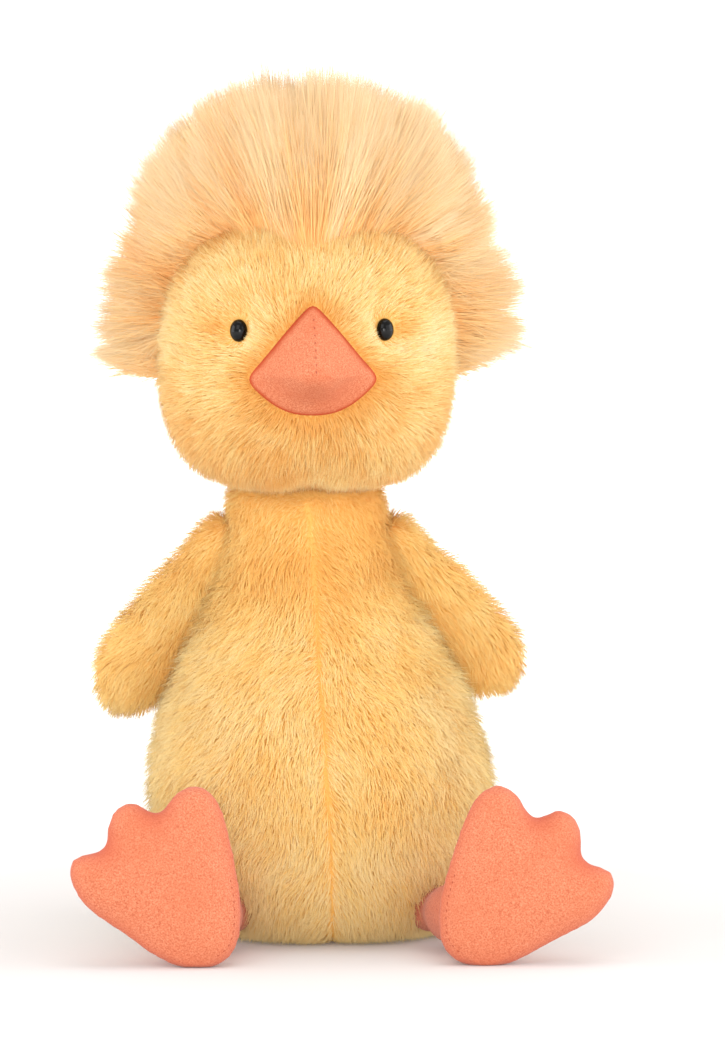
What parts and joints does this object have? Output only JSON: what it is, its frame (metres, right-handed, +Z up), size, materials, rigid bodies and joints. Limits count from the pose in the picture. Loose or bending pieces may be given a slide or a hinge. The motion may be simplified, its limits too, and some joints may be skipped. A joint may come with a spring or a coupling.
{
  "type": "plush duck",
  "caption": "Sitting plush duckling with a big brushed crest, a suede beak, soft wings and webbed suede feet that swing at their seams.",
  "frame": {"origin": "middle of the flat seat, on the surface that the duck sits on", "axes": "+Z up; the duck faces -Y; +X is the duck's own left"},
  "size_m": [0.163, 0.1177, 0.2555],
  "materials": {
    "body_plush": "short plush pile, warm yellow",
    "face_plush": "short plush pile, paler yellow",
    "crest_pile": "long brushed pile, orange at the root and cream at the tip",
    "foot_suede": "brushed suede cloth, coral",
    "beak_suede": "brushed suede cloth, salmon",
    "stuffing": "polyester fibre filling",
    "pouch_cloth": "plain woven lining cloth",
    "beans": "small plastic pellets",
    "thread": "sewing thread",
    "eye_plastic": "glossy black moulding",
    "washer_plastic": "white moulding"
  },
  "bodies": {
    "torso": {"torso_front_left_panel": "body_plush", "torso_front_right_panel": "body_plush", "torso_back_left_panel": "body_plush", "torso_back_right_panel": "body_plush", "seat_panel": "body_plush", "torso_stuffing": "stuffing", "bean_pouch": "pouch_cloth", "bean_fill": "beans"},
    "neck": {"neck_stitching": "thread"},
    "head": {"face_left_panel": "face_plush", "face_right_panel": "face_plush", "head_back_left_panel": "body_plush", "head_back_right_panel": "body_plush", "crest_backing": "crest_pile", "crest_pile": "crest_pile", "head_stuffing": "stuffing", "beak_upper_left_panel": "beak_suede", "beak_upper_right_panel": "beak_suede", "beak_lower_panel": "beak_suede", "beak_stuffing": "stuffing", "eye_left": "eye_plastic", "eye_right": "eye_plastic", "eye_washer_left": "washer_plastic", "eye_washer_right": "washer_plastic"},
    "shoulder_left": {"shoulder_left_stitching": "thread"},
    "wing_left": {"wing_left_front_panel": "body_plush", "wing_left_back_panel": "body_plush", "wing_left_stuffing": "stuffing"},
    "hip_left": {"hip_left_stitching": "thread"},
    "leg_left": {"leg_left_sleeve": "foot_suede", "leg_left_stuffing": "stuffing", "foot_left_sole_panel": "foot_suede", "foot_left_top_panel": "foot_suede", "foot_left_stuffing": "stuffing"},
    "shoulder_right": {"shoulder_right_stitching": "thread"},
    "wing_right": {"wing_right_front_panel": "body_plush", "wing_right_back_panel": "body_plush", "wing_right_stuffing": "stuffing"},
    "hip_right": {"hip_right_stitching": "thread"},
    "leg_right": {"leg_right_sleeve": "foot_suede", "leg_right_stuffing": "stuffing", "foot_right_sole_panel": "foot_suede", "foot_right_top_panel": "foot_suede", "foot_right_stuffing": "stuffing"}
  },
  "joints": [
    {"name": "head_turn", "type": "hinge", "parent": "torso", "child": "neck", "pos_m": [-0.0065, 0, 0.128], "axis": [0, 0, 1], "range_deg": [-40, 40], "stiffness_Nm_per_rad": 0.12},
    {"name": "head_nod", "type": "hinge", "parent": "neck", "child": "head", "pos_m": [-0.0065, 0, 0.128], "axis": [1, 0, 0], "range_deg": [-12, 14], "stiffness_Nm_per_rad": 0.25},
    {"name": "wing_left_swing", "type": "hinge", "parent": "torso", "child": "shoulder_left", "pos_m": [0.01892, 0.002, 0.116], "axis": [-1, 0, 0], "range_deg": [-40, 55], "stiffness_Nm_per_rad": 0.03},
    {"name": "wing_left_raise", "type": "hinge", "parent": "shoulder_left", "child": "wing_left", "pos_m": [0.01892, 0.002, 0.116], "axis": [0, -1, 0], "range_deg": [0, 70], "stiffness_Nm_per_rad": 0.03},
    {"name": "leg_left_pitch", "type": "hinge", "parent": "torso", "child": "hip_left", "pos_m": [0.02973, -0.02844, 0.011], "axis": [1, 0, 0], "range_deg": [-20, 80], "stiffness_Nm_per_rad": 0.05},
    {"name": "leg_left_splay", "type": "hinge", "parent": "hip_left", "child": "leg_left", "pos_m": [0.02973, -0.02844, 0.011], "axis": [0, 0, 1], "range_deg": [-8, 35], "stiffness_Nm_per_rad": 0.05},
    {"name": "wing_right_swing", "type": "hinge", "parent": "torso", "child": "shoulder_right", "pos_m": [-0.0307, 0.002, 0.116], "axis": [-1, 0, 0], "range_deg": [-40, 55], "stiffness_Nm_per_rad": 0.03},
    {"name": "wing_right_raise", "type": "hinge", "parent": "shoulder_right", "child": "wing_right", "pos_m": [-0.0307, 0.002, 0.116], "axis": [0, 1, 0], "range_deg": [0, 70], "stiffness_Nm_per_rad": 0.03},
    {"name": "leg_right_pitch", "type": "hinge", "parent": "torso", "child": "hip_right", "pos_m": [-0.03085, -0.02844, 0.011], "axis": [1, 0, 0], "range_deg": [-20, 80], "stiffness_Nm_per_rad": 0.05},
    {"name": "leg_right_splay", "type": "hinge", "parent": "hip_right", "child": "leg_right", "pos_m": [-0.03085, -0.02844, 0.011], "axis": [0, 0, -1], "range_deg": [-8, 35], "stiffness_Nm_per_rad": 0.05}
  ]
}
